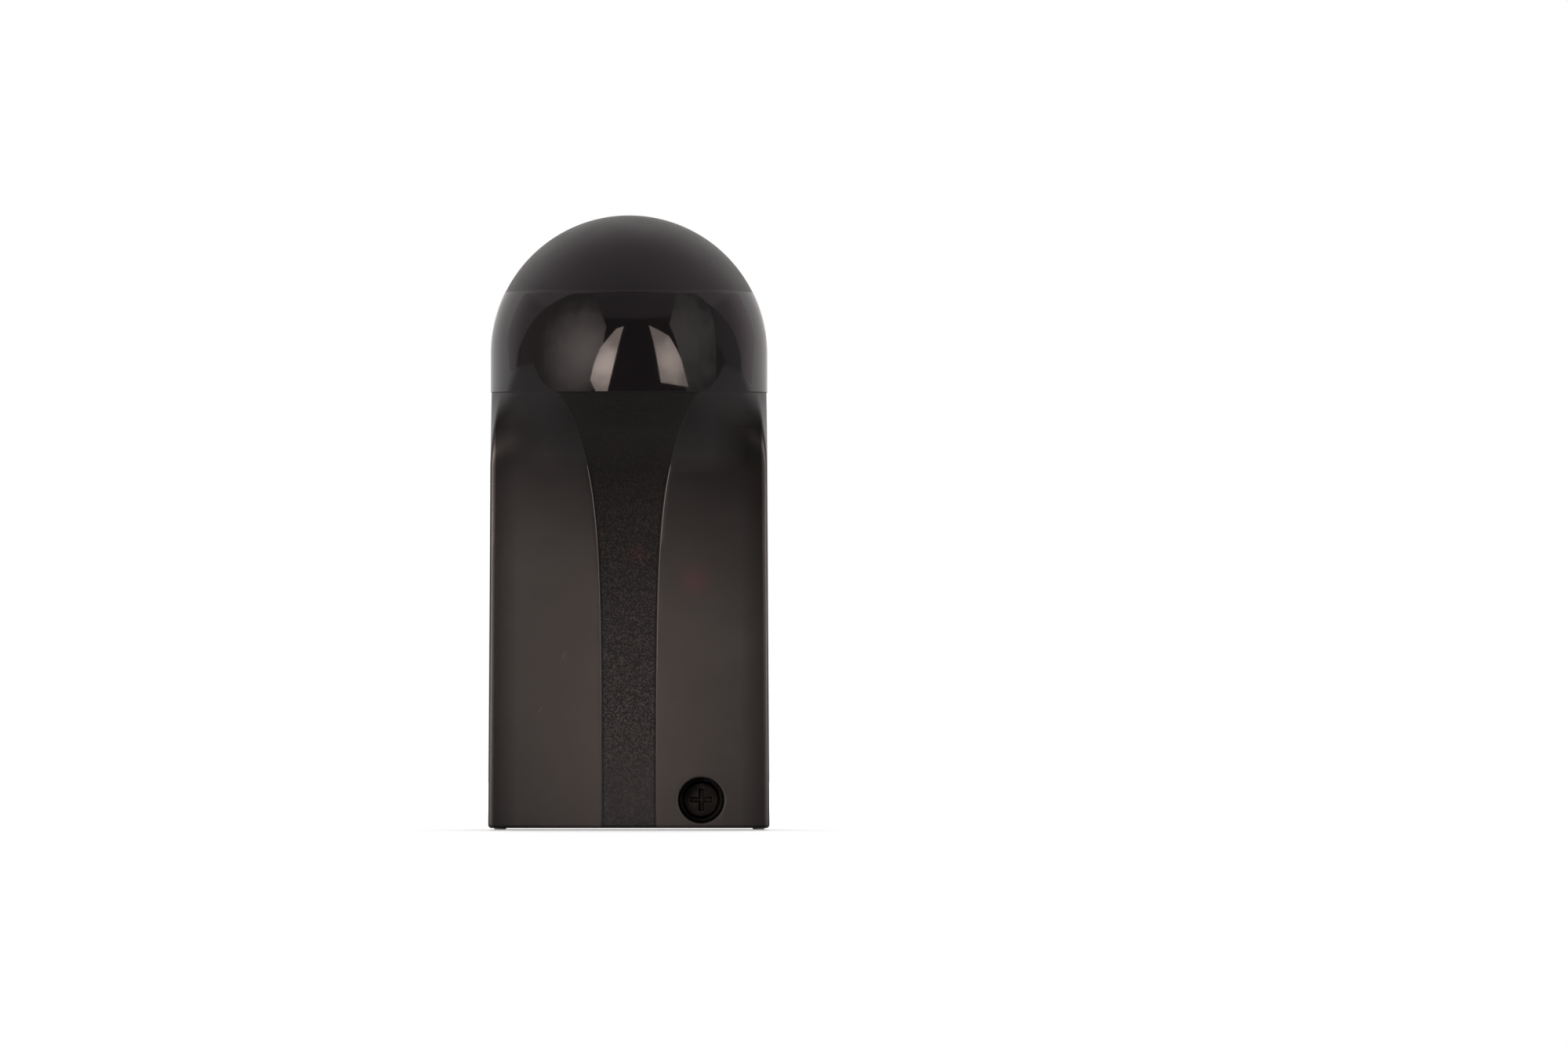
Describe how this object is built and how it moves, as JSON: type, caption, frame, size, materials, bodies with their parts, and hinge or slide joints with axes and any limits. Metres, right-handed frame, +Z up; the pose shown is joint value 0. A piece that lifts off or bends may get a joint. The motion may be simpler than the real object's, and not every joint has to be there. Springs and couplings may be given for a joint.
{
  "type": "gate safety photocell",
  "caption": "Wall-mounted gate safety photocell: smoked domed cover with a polished window over a swivelling optic, board, terminals and rear cable entry.",
  "frame": {"origin": "centre of the two wall slots, on the wall plane", "axes": "+Z up along the case, +X to the right seen from the front, +Y into the wall; the front faces -Y"},
  "size_m": [0.0504, 0.0433, 0.1102],
  "materials": {
    "smoked_polycarbonate": "smoked, polished window and satin faces",
    "pale_housing": "moulded, fine grain",
    "black_rubber": "moulded rubber",
    "black_steel": "black passivated",
    "zinc_steel": "bright zinc",
    "black_nylon": "moulded",
    "clear_acrylic": "polished",
    "board_laminate": "solder resist over glass laminate",
    "black_epoxy": "moulded epoxy",
    "wire_sleeve": "extruded sleeve",
    "ivory_nylon": "moulded",
    "green_nylon": "moulded",
    "nickel_brass": "plated",
    "blue_case": "moulded",
    "sleeved_can": "shrunk sleeve over aluminium",
    "blue_lacquer": "dipped lacquer",
    "nickel_can": "drawn can",
    "red_epoxy": "cast, tinted",
    "red_nylon": "moulded",
    "tan_ceramic": "fired ceramic"
  },
  "bodies": {
    "base": {"rear_base": "pale_housing", "base_gasket": "black_rubber", "cable_grommet": "black_rubber", "head_bracket": "black_nylon", "bracket_screws": "zinc_steel", "sensor_leads_lower": "wire_sleeve", "lead_connector": "ivory_nylon", "main_board": "board_laminate", "board_screws": "zinc_steel", "terminal_block": "green_nylon", "terminal_screws": "zinc_steel", "terminal_cages": "nickel_brass", "relay": "blue_case", "filter_capacitor": "sleeved_can", "varistor": "blue_lacquer", "rectifier_diodes": "black_epoxy", "voltage_regulator": "black_epoxy", "microcontroller": "black_epoxy", "quartz_crystal": "nickel_can", "alignment_leds": "red_epoxy", "jumper_header": "black_nylon", "chip_resistors": "black_epoxy", "chip_capacitors": "tan_ceramic"},
    "cover": {"front_cover": "smoked_polycarbonate"},
    "seal": {"screw_seal": "black_rubber"},
    "screw": {"cover_screw": "black_steel"},
    "turret": {"head_turret": "black_nylon", "sensor_leads_upper": "wire_sleeve"},
    "barrel": {"lens_barrel": "black_nylon", "receiver_lens": "clear_acrylic", "receiver_board": "board_laminate", "photodiode": "black_epoxy"},
    "jumper": {"jumper_cap": "red_nylon"}
  },
  "joints": [
    {"name": "cover_pull", "type": "slide", "parent": "base", "child": "cover", "axis": [0, -1, 0], "range_m": [0, 0.045]},
    {"name": "screw_back_out", "type": "slide", "parent": "cover", "child": "seal", "axis": [0, -1, 0], "range_m": [0, 0.009]},
    {"name": "screw_turn", "type": "hinge", "parent": "seal", "child": "screw", "pos_m": [0.01294, 0, -0.0499], "axis": [0, -1, 0], "range_deg": [0, 4628.6]},
    {"name": "head_pan", "type": "hinge", "parent": "base", "child": "turret", "pos_m": [0, -0.0185, 0.0301], "axis": [0, 0, 1], "range_deg": [-90, 90]},
    {"name": "head_tilt", "type": "hinge", "parent": "turret", "child": "barrel", "pos_m": [0, -0.0185, 0.0311], "axis": [1, 0, 0], "range_deg": [-15, 15], "deforming": ["sensor_leads_upper"]},
    {"name": "jumper_pull", "type": "slide", "parent": "base", "child": "jumper", "axis": [0, -1, 0], "range_m": [0, 0.0052]}
  ],
  "couplings": [
    {"joint": "screw_turn", "follows": "screw_back_out", "rad_per_m": 8976}
  ]
}
